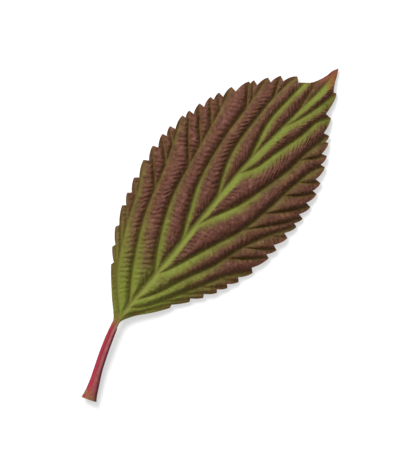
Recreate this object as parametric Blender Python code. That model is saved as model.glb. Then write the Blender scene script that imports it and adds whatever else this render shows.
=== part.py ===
"""One autumn leaf with its stalk, lying face up on a flat surface.

The blade is pleated between pressed-in veins and toothed along its margin. The stalk and the midrib are
one tapering rib under the blade, joined to it. Metres, +Z up, the blade's tip towards +Y, and the origin at
the bottom centre of the leaf's box. Plans below are in millimetres from the foot of the blade.
"""
import math

import bmesh
import bpy
import numpy as np
from mathutils import Vector
from mathutils.geometry import delaunay_2d_cdt

MM = 0.001

# ---- driving dimensions, in millimetres
TIP_Y = 83.7                 # the blade's length, from its foot
BLADE_THICKNESS = 0.35
PLEAT_HEIGHT = 2.5           # what an endlessly wide pleat would rise above its veins
PLEAT_REACH = 2.2            # how fast a pleat rises with distance from a vein
VEIN_FLOOR = 0.3             # half the width of a vein's rounded floor
FORK_WEIGHT = 0.2            # a side branch presses in less than the vein that it leaves
GENTLE = 0.9                 # pleats rise gently to the right of a vein
STEEP = 1.35                 # and drop more steeply to the next vein
GATHER = 3.0                 # how closely a pleat follows the nearer of its veins
MARGIN_PLEAT = 0.35          # the share of a pleat's height that is left at the margin
MARGIN_REACH = 3.5           # how far inside the margin the pleats have their full height
ARCH_POWER = 1.8             # how the fall from midrib to margin grows outwards
TIP_FADE = 20.0              # over this length the arch and the wave fade towards the tip
FOOT_FADE = 15.0             # and over this length towards the foot
SIDE_RISE = 0.3              # how far the blade's halves arch up between midrib and margin
SIDE_RISE_END = 0.77         # where that arch ends, as a share of the way out to the margin
MARGIN_WAVE = 0.4            # the slow wave along the margin, from trough to crest
MARGIN_WAVE_LENGTH = 23.0
MARGIN_WAVE_SLANT = 6.0      # over this distance across, the wave shifts by a radian
TOOTH_DEPTH = 0.34           # of the tooth's own length along the margin
TOOTH_LENGTH_CAP = 3.4
TOOTH_FRONT = 0.12           # the share of a tooth's length that its short front takes
SMALLEST_TOOTH = 0.35        # the depth's factor at the foot; it grows upwards
TOOTH_GROWTH = 1 / 45        # by this much a millimetre
LARGEST_TOOTH = 1.25         # up to this
TOOTH_BACK_POWER = 1.7       # how convex a tooth's long back is

BLADE_FOOT = -2.0            # just below where the blade's halves run out on the stalk
MARGIN_STEP = 0.9            # the spacing of the mesh's points
VEIN_STEP = 2.1
LATTICE_STEP = 1.8
CLEARANCE = 0.6              # points closer together than this share of a step are left out
FINE_STEP = 0.1              # the spacing of points on curves that are measured along
SEARCH_STEP = 0.25           # and on curves that distances are taken from
SPAN_POINTS = 40             # how finely a curve is worked out between two of its points
RIB_SIDES = 12               # a multiple of four, so that a corner lies on the flat surface

# ---- the plan. The stalk and midrib's centre line runs from the cut end to the tip.
AXIS = [(7.4, -19.7), (5.85, -16.0), (4.0, -12.0), (2.35, -8.0), (0.9, -4.0), (0.05, -1.0), (-0.45, 5.0),
        (-0.6, 15.0), (-1.1, 30.0), (-1.5, 42.0), (-1.6, 51.0), (-0.85, 61.0), (-0.25, 70.0), (0.3, 77.0),
        (0.2, 81.0), (0.0, TIP_Y)]
# The line through the tips of the teeth, from the foot of the blade to the tip.
MARGIN = {
    "left": [(-0.75, -1.9), (-1.2, -0.5), (-5.3, 3.6), (-10.7, 9.5), (-16.0, 17.2), (-20.4, 28.8),
             (-22.35, 39.5), (-21.6, 49.5), (-17.2, 62.4), (-10.2, 72.2), (-6.4, 75.4), (-2.8, 76.9),
             (-1.0, 80.5), (0.0, TIP_Y)],
    "right": [(0.95, -1.6), (0.6, 0.1), (1.9, 2.9), (5.8, 8.0), (9.9, 14.5), (13.5, 20.4), (15.8, 25.6),
              (17.5, 31.2), (18.15, 38.0), (18.2, 46.0), (17.3, 53.8), (14.0, 62.2), (10.4, 67.9),
              (6.8, 73.0), (3.75, 78.6), (1.8, 80.5), (0.0, TIP_Y)],
}
# The toothless margin of the drawn-out tip, from the last tooth's notch.
TIP_MARGIN = {
    "left": [(-5.2, 74.3), (-4.25, 75.2), (-2.8, 76.5), (-1.75, 78.4), (-1.0, 80.5), (-0.75, 82.1),
             (0.0, TIP_Y)],
    "right": [(3.05, 78.3), (2.5, 79.0), (1.7, 80.4), (0.9, 82.1), (0.0, TIP_Y)],
}
# How far up the leaf each tooth's tip stands.
TEETH = {
    "left": [9.4, 12.9, 17.2, 22.3, 25.5, 29.5, 34.4, 38.6, 42.4, 45.1, 49.2, 51.2, 54.3, 57.3, 59.5, 62.6,
             66.5, 67.6, 70.4, 72.8, 75.4],
    "right": [10.8, 15.2, 18.2, 21.4, 24.0, 27.0, 31.0, 36.4, 39.2, 43.3, 46.9, 49.4, 52.9, 56.4, 59.1,
              62.8, 65.2, 67.9, 69.4, 73.0, 78.6],
}
# Each side vein: how far up it leaves the midrib, the points that it passes, how far up it ends.
VEINS = {
    "left": [(0.8, [(-8.0, 8.7), (-14.2, 19.5), (-18.0, 28.5)], 34.4),
             (4.5, [(-6.0, 12.5), (-12.6, 25.0), (-16.6, 37.0)], 49.2),
             (14.5, [(-4.5, 20.3), (-9.8, 31.5), (-12.8, 44.0), (-15.2, 55.5)], 62.6),
             (25.0, [(-3.7, 30.5), (-7.7, 40.0), (-9.9, 51.0), (-10.9, 62.0)], 70.4),
             (39.0, [(-4.2, 44.7), (-6.2, 50.5), (-7.2, 61.0), (-7.2, 70.0)], 75.4),
             (51.5, [(-2.9, 56.0), (-4.3, 62.0), (-4.2, 71.0)], 76.3),
             (68.0, [(-1.3, 74.0)], 78.5)],
    "right": [(1.2, [(2.5, 4.6), (5.5, 9.2)], 15.2),
              (4.0, [(2.6, 6.9), (6.6, 13.8), (10.0, 20.2), (13.5, 26.6)], 31.0),
              (6.2, [(2.6, 11.2), (5.8, 19.0), (9.0, 26.0), (11.0, 33.0), (13.9, 39.7)], 46.9),
              (14.8, [(1.2, 18.0), (3.9, 25.0), (6.3, 31.3), (8.7, 38.0), (10.0, 46.0), (10.9, 54.5),
                      (12.1, 60.3)], 62.8),
              (30.3, [(0.6, 34.5), (4.0, 42.0), (5.8, 49.0), (7.4, 56.5), (8.0, 63.0)], 69.4),
              (47.2, [(0.8, 51.3), (2.2, 57.2), (4.1, 64.8), (4.9, 70.0)], 73.0),
              (63.5, [(1.3, 68.2), (2.7, 73.5)], 78.6)],
}
FORK_BACK = 1.8              # a branch forks off this many times its gap back from the vein's end
FORK_BACK_LEAST = 0.5        # and this much further back
LOWEST_FORK = 0.25           # but no lower than this share of the vein's length
END_MATCH = 0.3              # a vein ends in the tooth whose height is this close to the vein's end
FORK_BOW = -0.04             # a branch bends towards the tip by this share of its length

# ---- heights of the upper side: (distance up the leaf, height)
MIDRIB_FLOOR = [(-2.0, 2.25), (8.0, 2.35), (22.0, 2.65), (42.0, 2.75), (58.0, 2.35), (70.0, 1.6),
                (78.0, 0.9), (TIP_Y, 0.35)]
# The left margin's teeth touch the surface halfway up; the right margin stays a little above it.
MARGIN_HEIGHT = {
    "left": [(-2.0, 2.1), (6.0, 1.4), (18.0, 0.75), (34.0, 0.35), (58.0, 0.35), (TIP_Y, 0.35)],
    "right": [(-2.0, 2.0), (6.0, 1.2), (18.0, 0.65), (34.0, 0.45), (58.0, 0.45), (74.0, 0.4),
              (TIP_Y, 0.35)],
}
# The rib: (distance up the leaf, half its width, half its height, height of its centre). It is flared and
# cut at the lower end, rises to the blade, then runs under the midrib's floor and thins out.
STALK = [(-19.7, 2.0, 1.1, 1.1), (-18.6, 1.72, 1.08, 1.12), (-16.5, 1.42, 1.05, 1.2),
         (-13.0, 1.15, 1.0, 1.32), (-8.0, 1.08, 0.98, 1.5), (-4.0, 1.02, 0.95, 1.62), (-1.0, 0.88, 0.9, 1.68)]
MIDRIB_DEPTH = [(2.0, 0.98), (20.0, 0.82), (42.0, 0.66), (62.0, 0.45), (76.0, 0.27), (82.0, 0.16)]
RIB_BEDDING = 0.16           # how far the rib's top lies under the midrib's floor
RIB_STEP = 3.0
END_DISH = 0.35              # how far the cut end's middle is sunk

LEAF_COLOUR = (0.165, 0.085, 0.045, 1.0)
LEAF_ROUGHNESS = 0.6


def clear_scene():
    for item in list(bpy.data.objects):
        bpy.data.objects.remove(item)


# ---- curves in the plan
def arc_lengths(path):
    return np.concatenate([[0.0], np.cumsum(np.linalg.norm(np.diff(path, axis=0), axis=1))])


def at_arc(path, arc):
    along = arc_lengths(path)
    return np.array([np.interp(arc, along, column) for column in path.T]).T


def arc_at_height(path, y):
    return np.interp(y, path[:, 1], arc_lengths(path))


def smooth_curve(points, step):
    """A curve through the points (centripetal Catmull-Rom), as points about one step apart."""
    knots = np.array(points, float)
    knots = np.vstack([2 * knots[0] - knots[1], knots, 2 * knots[-1] - knots[-2]])
    pieces = []
    for a, b, c, d in zip(knots[:-3], knots[1:-2], knots[2:-1], knots[3:]):
        tb = np.linalg.norm(b - a) ** 0.5
        tc = tb + np.linalg.norm(c - b) ** 0.5
        td = tc + np.linalg.norm(d - c) ** 0.5
        t = np.linspace(tb, tc, SPAN_POINTS, endpoint=False)[:, None]
        ab = a + (b - a) * t / tb
        bc = b + (c - b) * (t - tb) / (tc - tb)
        cd = c + (d - c) * (t - tc) / (td - tc)
        abc = ab + (bc - ab) * t / tc
        bcd = bc + (cd - bc) * (t - tb) / (td - tb)
        pieces.append(abc + (bcd - abc) * (t - tb) / (tc - tb))
    path = np.vstack(pieces + [knots[-2:-1]])
    length = arc_lengths(path)[-1]
    return at_arc(path, np.linspace(0, length, max(2, round(length / step) + 1)))


def tooth_margin(side, step):
    """One side's outline from the foot to the tip: long convex backs and short fronts, pointing up."""
    line = smooth_curve(MARGIN[side], FINE_STEP)
    along = arc_lengths(line)
    heading = np.gradient(line, axis=0)
    heading /= np.linalg.norm(heading, axis=1)[:, None]
    turn = 1 if side == "left" else -1
    inward = np.column_stack([heading[:, 1], -heading[:, 0]]) * turn

    def place(arc, depth):
        base = [np.interp(arc, along, line[:, k]) for k in (0, 1)]
        push = [np.interp(arc, along, inward[:, k]) for k in (0, 1)]
        return (base[0] + depth * push[0], base[1] + depth * push[1])

    tips = [arc_at_height(line, y) for y in TEETH[side]]
    count = round(tips[0] / step)
    outline = [place(tips[0] * k / count, 0) for k in range(count)]
    for tip, following in zip(tips, tips[1:]):
        pitch = following - tip
        grown = min(LARGEST_TOOTH, SMALLEST_TOOTH + TOOTH_GROWTH * place(tip, 0)[1])
        depth = TOOTH_DEPTH * min(pitch, TOOTH_LENGTH_CAP) * grown
        notch = tip + TOOTH_FRONT * pitch
        outline.append(place(tip, 0))
        count = max(2, round((following - notch) / step))
        for k in range(count):
            share = k / count
            inset = depth * (1 - share) ** TOOTH_BACK_POWER
            outline.append(place(notch + share * (following - notch), inset))
    outline.append(place(tips[-1], 0))
    outline += [tuple(p) for p in smooth_curve(TIP_MARGIN[side], step)]
    return outline


def side_veins(side, step):
    axis = smooth_curve(AXIS, FINE_STEP)
    line = smooth_curve(MARGIN[side], FINE_STEP)
    veins = []
    for start, through, end in VEINS[side]:
        foot = at_arc(axis, arc_at_height(axis, start))
        head = at_arc(line, arc_at_height(line, end))
        veins.append(smooth_curve([foot, *through, head], step))
    return veins


def branches(side, step):
    """The branches that leave each side vein on its outer side, one to every tooth without a vein."""
    line = smooth_curve(MARGIN[side], FINE_STEP)
    veins = side_veins(side, FINE_STEP)
    ends = [vein[2] for vein in VEINS[side]]
    paths = []
    for tooth in TEETH[side]:
        later = [i for i, end in enumerate(ends) if end > tooth + END_MATCH]
        if not later or min(abs(tooth - end) for end in ends) < END_MATCH:
            continue
        vein = veins[later[0]]
        gap = arc_at_height(line, ends[later[0]]) - arc_at_height(line, tooth)
        length = arc_lengths(vein)[-1]
        fork = max(length - FORK_BACK * gap - FORK_BACK_LEAST, LOWEST_FORK * length)
        foot = at_arc(vein, fork)
        ahead = at_arc(vein, fork + 1.0) - foot
        head = at_arc(line, arc_at_height(line, tooth))
        bow = FORK_BOW * np.linalg.norm(head - foot) * ahead / np.linalg.norm(ahead)
        paths.append(smooth_curve([foot, (foot + head) / 2 + bow, head], step))
    return paths


# ---- the blade's upper surface
def distances(points, path):
    return np.linalg.norm(points[:, None, :] - path[None, :, :], axis=2).min(axis=1)


def nearness(points, path):
    """How strongly a vein draws the surface down, falling off sooner on its left than on its right."""
    nearest = np.linalg.norm(points[:, None, :] - path[None, :, :], axis=2).argmin(axis=1)
    heading = np.gradient(path, axis=0)[nearest]
    offset = points - path[nearest]
    on_right = offset[:, 0] * heading[:, 1] > offset[:, 1] * heading[:, 0]
    reach = np.linalg.norm(offset, axis=1) * np.where(on_right, GENTLE, STEEP)
    return np.maximum(reach, 0.02) ** -GATHER


def upper_height(points):
    """The height of the blade's upper side: an arch, a slow wave at the margin, and the pleats."""
    midrib = smooth_curve([p for p in AXIS if p[1] > BLADE_FOOT], SEARCH_STEP)
    middle = np.interp(points[:, 1], midrib[:, 1], midrib[:, 0])
    half = np.ones(len(points))
    margin = np.zeros(len(points))
    margin_gap = np.full(len(points), np.inf)
    near = nearness(points, midrib)
    for side, sign in (("left", -1), ("right", 1)):
        line = smooth_curve(MARGIN[side], SEARCH_STEP)
        width = np.abs(np.interp(points[:, 1], line[:, 1], line[:, 0]) - middle)
        on_side = sign * (points[:, 0] - middle) >= 0
        half = np.where(on_side, width, half)
        margin = np.where(on_side, np.interp(points[:, 1], *np.array(MARGIN_HEIGHT[side]).T), margin)
        margin_gap = np.minimum(margin_gap, distances(points, line))
        for path in side_veins(side, SEARCH_STEP):
            near += nearness(points, path)
        for path in branches(side, SEARCH_STEP):
            near += FORK_WEIGHT * nearness(points, path)
    gap = near ** (-1 / GATHER)
    gap = np.sqrt(gap ** 2 + VEIN_FLOOR ** 2) - VEIN_FLOOR
    pleat = PLEAT_HEIGHT * (1 - np.exp(-gap / PLEAT_REACH))
    pleat *= MARGIN_PLEAT + (1 - MARGIN_PLEAT) * np.clip(margin_gap / MARGIN_REACH, 0, 1)
    out = np.clip(np.abs(points[:, 0] - middle) / np.maximum(half, 1.0), 0, 1)
    floor = np.interp(points[:, 1], *np.array(MIDRIB_FLOOR).T)
    ends = np.clip((TIP_Y - points[:, 1]) / TIP_FADE, 0, 1)
    ends *= np.clip((points[:, 1] - BLADE_FOOT) / FOOT_FADE, 0, 1)
    rise = ends * SIDE_RISE * np.sin(math.pi * np.minimum(out / SIDE_RISE_END, 1))
    phase = points[:, 1] * math.tau / MARGIN_WAVE_LENGTH + points[:, 0] / MARGIN_WAVE_SLANT
    wave = MARGIN_WAVE * ends * out ** 2 * (0.5 + 0.5 * np.sin(phase))
    return floor + rise - (floor - margin) * out ** ARCH_POWER + wave + pleat


def blade_plan():
    """Points and triangles of the blade's plan: the toothed outline, the veins, and a lattice between."""
    left = tooth_margin("left", MARGIN_STEP)
    right = tooth_margin("right", MARGIN_STEP)
    outline = np.array(right[:-1] + left[::-1])
    inner = [smooth_curve([p for p in AXIS if BLADE_FOOT < p[1] < TIP_Y], VEIN_STEP)[1:-1]]
    for side in ("left", "right"):
        inner += [path[1:-1] for path in side_veins(side, VEIN_STEP)]
        inner += [path[1:-1] for path in branches(side, VEIN_STEP)]
    points = outline
    edges = [(i, (i + 1) % len(outline)) for i in range(len(outline))]
    for path in inner:
        path = path[distances(path, points) > CLEARANCE * MARGIN_STEP]
        edges += [(len(points) + i, len(points) + i + 1) for i in range(len(path) - 1)]
        points = np.vstack([points, path])
    low, high = outline.min(axis=0), outline.max(axis=0)
    rows = np.arange(low[1], high[1], LATTICE_STEP * math.sqrt(0.75))
    for k, y in enumerate(rows):
        xs = np.arange(low[0] + (k % 2) * LATTICE_STEP / 2, high[0], LATTICE_STEP)
        row = np.column_stack([xs, np.full(len(xs), y)])
        points = np.vstack([points, row[distances(row, points) > CLEARANCE * LATTICE_STEP]])
    inside_outline = 1
    found = delaunay_2d_cdt([Vector(p) for p in points], edges, [], inside_outline, 1e-5)
    return np.array([tuple(v) for v in found[0]]), found[2]


# ---- solids
def mesh_object(name, bm):
    mesh = bpy.data.meshes.new(name)
    bmesh.ops.recalc_face_normals(bm, faces=bm.faces)
    bm.to_mesh(mesh)
    bm.free()
    item = bpy.data.objects.new(name, mesh)
    bpy.context.collection.objects.link(item)
    return item


def make_blade():
    plan, triangles = blade_plan()
    height = upper_height(plan)
    bm = bmesh.new()
    corners = [bm.verts.new((x * MM, y * MM, z * MM)) for (x, y), z in zip(plan, height)]
    for triangle in triangles:
        bm.faces.new([corners[i] for i in triangle])
    lowered = bmesh.ops.extrude_face_region(bm, geom=list(bm.faces))
    under = [item for item in lowered["geom"] if isinstance(item, bmesh.types.BMVert)]
    bmesh.ops.translate(bm, verts=under, vec=(0, 0, -BLADE_THICKNESS * MM))
    return mesh_object("blade", bm)


def rib_sections():
    """(plan position, heading, half width, half height, centre height) along the stalk and midrib."""
    axis = smooth_curve(AXIS, FINE_STEP)
    stalk = np.array(STALK)
    depths = np.array(MIDRIB_DEPTH)
    floors = np.array(MIDRIB_FLOOR)
    heights = [row[0] for row in STALK]
    heights += list(np.arange(depths[0, 0], depths[-1, 0] + 0.1, RIB_STEP))
    sections = []
    for y in heights:
        arc = arc_at_height(axis, y)
        here = at_arc(axis, arc)
        heading = at_arc(axis, arc + 0.5) - at_arc(axis, arc - 0.5)
        heading /= np.linalg.norm(heading)
        if y < 0:
            wide, tall, centre = (np.interp(y, stalk[:, 0], stalk[:, k]) for k in (1, 2, 3))
        else:
            wide = tall = np.interp(y, depths[:, 0], depths[:, 1])
            centre = np.interp(y, floors[:, 0], floors[:, 1]) - RIB_BEDDING - tall
        sections.append((here, heading, wide, tall, centre))
    return sections


def make_rib():
    bm = bmesh.new()
    rings = []
    for here, heading, wide, tall, centre in rib_sections():
        ring = []
        for k in range(RIB_SIDES):
            angle = math.tau * k / RIB_SIDES
            out = wide * math.cos(angle)
            x = here[0] + out * heading[1]
            y = here[1] - out * heading[0]
            ring.append(bm.verts.new((x * MM, y * MM, (centre + tall * math.sin(angle)) * MM)))
        rings.append(ring)
    for ring, following in zip(rings, rings[1:]):
        for k in range(RIB_SIDES):
            after = (k + 1) % RIB_SIDES
            bm.faces.new((ring[k], ring[after], following[after], following[k]))
    bm.faces.new(rings[-1])
    here, heading, _, _, centre = rib_sections()[0]
    dished = here + END_DISH * heading
    middle = bm.verts.new((dished[0] * MM, dished[1] * MM, centre * MM))
    for k in range(RIB_SIDES):
        bm.faces.new((rings[0][k], rings[0][(k + 1) % RIB_SIDES], middle))
    return mesh_object("rib", bm)


def leaf_material():
    material = bpy.data.materials.new("leaf_burgundy_green")
    material.use_nodes = True
    shader = material.node_tree.nodes["Principled BSDF"]
    shader.inputs["Base Color"].default_value = LEAF_COLOUR
    shader.inputs["Roughness"].default_value = LEAF_ROUGHNESS
    shader.inputs["Metallic"].default_value = 0.0
    return material


def make_leaf():
    blade = make_blade()
    rib = make_rib()
    union = blade.modifiers.new("join_rib", "BOOLEAN")
    union.operation = "UNION"
    union.solver = "EXACT"
    union.object = rib
    evaluated = blade.evaluated_get(bpy.context.evaluated_depsgraph_get())
    mesh = bpy.data.meshes.new_from_object(evaluated)
    for item in (blade, rib):
        bpy.data.objects.remove(item)
    spots = np.empty(len(mesh.vertices) * 3)
    mesh.vertices.foreach_get("co", spots)
    spots = spots.reshape(-1, 3)
    low, high = spots.min(axis=0), spots.max(axis=0)
    origin = ((low[0] + high[0]) / 2, (low[1] + high[1]) / 2, low[2])
    mesh.vertices.foreach_set("co", (spots - origin).ravel())
    mesh.name = "leaf"
    mesh.shade_smooth()
    mesh.set_sharp_from_angle(angle=math.radians(60))
    mesh.materials.clear()
    mesh.materials.append(leaf_material())
    leaf = bpy.data.objects.new("leaf", mesh)
    bpy.context.collection.objects.link(leaf)
    return leaf


clear_scene()
make_leaf()
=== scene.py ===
"""The leaf's looks: a fine pleated and rippled blade, its veins and stalk, as one mesh over the CAD leaf."""
import math

import bmesh
import bpy
import numpy as np
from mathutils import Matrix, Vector, noise
from mathutils.geometry import delaunay_2d_cdt


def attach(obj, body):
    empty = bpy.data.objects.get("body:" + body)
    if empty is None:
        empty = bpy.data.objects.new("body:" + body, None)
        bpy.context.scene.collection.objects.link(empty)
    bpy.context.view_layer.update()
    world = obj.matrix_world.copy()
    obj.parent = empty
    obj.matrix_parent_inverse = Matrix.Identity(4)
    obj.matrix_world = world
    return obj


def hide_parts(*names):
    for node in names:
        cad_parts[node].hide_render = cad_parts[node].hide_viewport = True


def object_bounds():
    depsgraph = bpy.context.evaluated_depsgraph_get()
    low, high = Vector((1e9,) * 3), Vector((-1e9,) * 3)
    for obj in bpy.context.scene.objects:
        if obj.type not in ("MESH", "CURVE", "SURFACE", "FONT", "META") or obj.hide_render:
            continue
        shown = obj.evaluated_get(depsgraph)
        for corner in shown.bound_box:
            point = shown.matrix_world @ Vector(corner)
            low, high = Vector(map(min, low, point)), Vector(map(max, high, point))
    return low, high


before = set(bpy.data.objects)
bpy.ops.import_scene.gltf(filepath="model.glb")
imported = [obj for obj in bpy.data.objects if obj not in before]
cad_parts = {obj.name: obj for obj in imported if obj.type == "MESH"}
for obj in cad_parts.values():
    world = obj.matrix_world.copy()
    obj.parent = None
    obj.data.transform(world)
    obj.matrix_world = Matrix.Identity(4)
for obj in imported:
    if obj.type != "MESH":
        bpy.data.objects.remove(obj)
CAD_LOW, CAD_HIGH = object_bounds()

MM = 0.001

# ---- the plan, in millimetres from the foot of the blade, tip along +Y, as in the CAD
TIP_Y = 83.7                 # the blade's length, from its foot
FOOT_Y = -1.75               # where the blade's halves run out on the stalk
BLADE_FOOT = -2.0            # just below it, where the blade's arch and wave begin
# The stalk and midrib's centre line, from the cut end to the tip.
AXIS = [(7.4, -19.7), (5.85, -16.0), (4.0, -12.0), (2.35, -8.0), (0.9, -4.0), (0.05, -1.0), (-0.45, 5.0),
        (-0.6, 15.0), (-1.1, 30.0), (-1.5, 42.0), (-1.6, 51.0), (-0.85, 61.0), (-0.25, 70.0), (0.3, 77.0),
        (0.2, 81.0), (0.0, TIP_Y)]
# The line through the tips of the teeth, from the foot of the blade to the tip.
MARGIN = {
    "left": [(-0.75, -1.9), (-1.2, -0.5), (-5.3, 3.6), (-10.7, 9.5), (-16.0, 17.2), (-20.4, 28.8),
             (-22.35, 39.5), (-21.6, 49.5), (-17.2, 62.4), (-10.2, 72.2), (-6.4, 75.4), (-2.8, 76.9),
             (-1.0, 80.5), (0.0, TIP_Y)],
    "right": [(0.95, -1.6), (0.6, 0.1), (1.9, 2.9), (5.8, 8.0), (9.9, 14.5), (13.5, 20.4), (15.8, 25.6),
              (17.5, 31.2), (18.15, 38.0), (18.2, 46.0), (17.3, 53.8), (14.0, 62.2), (10.4, 67.9),
              (6.8, 73.0), (3.75, 78.6), (1.8, 80.5), (0.0, TIP_Y)],
}
# The toothless margin of the drawn-out tip, from the last tooth's notch.
TIP_MARGIN = {
    "left": [(-5.2, 74.3), (-4.25, 75.2), (-2.8, 76.5), (-1.75, 78.4), (-1.0, 80.5), (-0.75, 82.1),
             (0.0, TIP_Y)],
    "right": [(3.05, 78.3), (2.5, 79.0), (1.7, 80.4), (0.9, 82.1), (0.0, TIP_Y)],
}
# How far up the leaf each tooth's tip stands.
TEETH = {
    "left": [9.4, 12.9, 17.2, 22.3, 25.5, 29.5, 34.4, 38.6, 42.4, 45.1, 49.2, 51.2, 54.3, 57.3, 59.5, 62.6,
             66.5, 67.6, 70.4, 72.8, 75.4],
    "right": [10.8, 15.2, 18.2, 21.4, 24.0, 27.0, 31.0, 36.4, 39.2, 43.3, 46.9, 49.4, 52.9, 56.4, 59.1,
              62.8, 65.2, 67.9, 69.4, 73.0, 78.6],
}
# Each side vein: how far up it leaves the midrib, the points that it passes, how far up it ends.
VEINS = {
    "left": [(0.8, [(-8.0, 8.7), (-14.2, 19.5), (-18.0, 28.5)], 34.4),
             (4.5, [(-6.0, 12.5), (-12.6, 25.0), (-16.6, 37.0)], 49.2),
             (14.5, [(-4.5, 20.3), (-9.8, 31.5), (-12.8, 44.0), (-15.2, 55.5)], 62.6),
             (25.0, [(-3.7, 30.5), (-7.7, 40.0), (-9.9, 51.0), (-10.9, 62.0)], 70.4),
             (39.0, [(-4.2, 44.7), (-6.2, 50.5), (-7.2, 61.0), (-7.2, 70.0)], 75.4),
             (51.5, [(-2.9, 56.0), (-4.3, 62.0), (-4.2, 71.0)], 76.3),
             (68.0, [(-1.3, 74.0)], 78.5)],
    "right": [(1.2, [(2.5, 4.6), (5.5, 9.2)], 15.2),
              (4.0, [(2.6, 6.9), (6.6, 13.8), (10.0, 20.2), (13.5, 26.6)], 31.0),
              (6.2, [(2.6, 11.2), (5.8, 19.0), (9.0, 26.0), (11.0, 33.0), (13.9, 39.7)], 46.9),
              (14.8, [(1.2, 18.0), (3.9, 25.0), (6.3, 31.3), (8.7, 38.0), (10.0, 46.0), (10.9, 54.5),
                      (12.1, 60.3)], 62.8),
              (30.3, [(0.6, 34.5), (4.0, 42.0), (5.8, 49.0), (7.4, 56.5), (8.0, 63.0)], 69.4),
              (47.2, [(0.8, 51.3), (2.2, 57.2), (4.1, 64.8), (4.9, 70.0)], 73.0),
              (63.5, [(1.3, 68.2), (2.7, 73.5)], 78.6)],
}
FORK_BACK = 1.8              # a branch forks off this many times its gap back from the vein's end
FORK_BACK_LEAST = 0.5        # and this much further back
LOWEST_FORK = 0.25           # but no lower than this share of the vein's length
FORK_BOW = -0.04             # a branch bends towards the tip by this share of its length
END_MATCH = 0.3              # a vein ends in the tooth whose height is this close to the vein's end
TOOTH_DEPTH = 0.34           # of the tooth's own length along the margin
TOOTH_LENGTH_CAP = 3.4
TOOTH_FRONT = 0.12           # the share of a tooth's length that its short front takes
SMALLEST_TOOTH = 0.35        # the depth's factor at the foot; it grows upwards
TOOTH_GROWTH = 1 / 45        # by this much a millimetre
LARGEST_TOOTH = 1.25         # up to this
TOOTH_BACK_POWER = 1.7       # how convex a tooth's long back is

# ---- heights of the upper side, in millimetres: (distance up the leaf, height)
MIDRIB_FLOOR = [(-2.0, 2.25), (8.0, 2.35), (22.0, 2.65), (42.0, 2.75), (58.0, 2.35), (70.0, 1.6),
                (78.0, 0.9), (TIP_Y, 0.35)]
MARGIN_HEIGHT = {
    "left": [(-2.0, 2.1), (6.0, 1.4), (18.0, 0.75), (34.0, 0.35), (58.0, 0.35), (TIP_Y, 0.35)],
    "right": [(-2.0, 2.0), (6.0, 1.2), (18.0, 0.65), (34.0, 0.45), (58.0, 0.45), (74.0, 0.4),
              (TIP_Y, 0.35)],
}
ARCH_POWER = 1.8             # how the fall from midrib to margin grows outwards
TIP_FADE = 20.0              # over this length the arch and the wave fade towards the tip
FOOT_FADE = 15.0             # and over this length towards the foot
SIDE_RISE = 0.3              # how far the blade's halves arch up between midrib and margin
SIDE_RISE_END = 0.77         # where that arch ends, as a share of the way out to the margin
MARGIN_WAVE = 0.4            # the slow wave along the margin, from trough to crest
MARGIN_WAVE_LENGTH = 23.0
MARGIN_WAVE_SLANT = 6.0      # over this distance across, the wave shifts by a radian

# ---- the pleats between the veins
PLEAT_HEIGHT = 2.6           # what an endlessly wide pleat would rise above its veins
PLEAT_REACH = 2.2            # how fast a pleat rises with distance from a vein
VEIN_FLOOR = 0.16            # half the width of a vein's rounded floor
FORK_WEIGHT = 0.2            # a side branch presses in less than the vein that it leaves
GENTLE = 0.9                 # pleats rise gently to the right of a vein
STEEP = 1.35                 # and drop more steeply to the next vein
GATHER = 3.0                 # how closely a pleat follows the nearer of its veins
LEAST_GAP = 0.02             # on a vein itself the distance to it counts as this
MARGIN_PLEAT = 0.35          # the share of a pleat's height that is left at the margin
MARGIN_REACH = 3.5           # how far inside the margin the pleats have their full height
VEIN_SEARCH = 10.0           # a vein's pull isn't worked out further than this outside its path's box

# ---- the cross ripples on the pleats and the blade's finer relief
RIPPLE_HEIGHT = 0.34
RIPPLE_LENGTH = 1.3
RIPPLE_BENDS = [(0.5, 3.2, 4.0), (0.35, 1.3, 9.0)]  # (how far the ripples wander, over what length, seed)
RIPPLE_MEAN = 0.8            # a ripple's height varies about this share of the full height
RIPPLE_SPREAD = 1.1
RIPPLE_PATCH = 1.5           # the size of stronger and weaker patches
RIPPLE_LEAST = 0.1           # and the least that is left of the height in the weaker ones
RIPPLES_FROM_VEIN = (0.15, 1.3)      # the ripples rise between these gaps to the veins,
RIPPLES_FROM_MARGIN = (0.0, 0.8)     # between these distances from the margin
RIPPLES_FROM_FOOT = (-1.0, 12.0)     # and between these distances up the leaf
PILLOW_SIZE = 0.95           # small irregular swellings with creases between them
PILLOW_DEPTH = 0.12
CREASE_WIDTH = 0.45          # as a share of a pillow
GRAIN_HEIGHT = 0.1
GRAIN_SIZE = 0.7
RELIEF_FROM_VEIN = (0.1, 0.8)  # pillows and grain rise between these gaps to the veins
LIP_HEIGHT = 0.07            # the raised line along each edge of the midrib's band
LIP_WIDTH = 0.13
LIP_START = (0.0, 3.0)       # it rises between these distances up the leaf

# ---- the rib and the underside
# The stalk: (distance up the leaf, half its width, half its height, its centre's height).
STALK = [(-19.7, 2.0, 1.1, 1.1), (-18.6, 1.72, 1.08, 1.12), (-16.5, 1.42, 1.05, 1.2),
         (-13.0, 1.15, 1.0, 1.32), (-8.0, 1.08, 0.98, 1.5), (-4.0, 1.02, 0.95, 1.62),
         (-1.0, 0.88, 0.9, 1.68)]
# The midrib: (distance up the leaf, half its width, how far it stands out under the blade).
MIDRIB = [(-4.0, 1.15, 0.3), (2.0, 0.98, 1.75), (20.0, 0.82, 1.4), (42.0, 0.66, 1.05), (62.0, 0.45, 0.7),
          (76.0, 0.27, 0.4), (82.0, 0.16, 0.2)]
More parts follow.
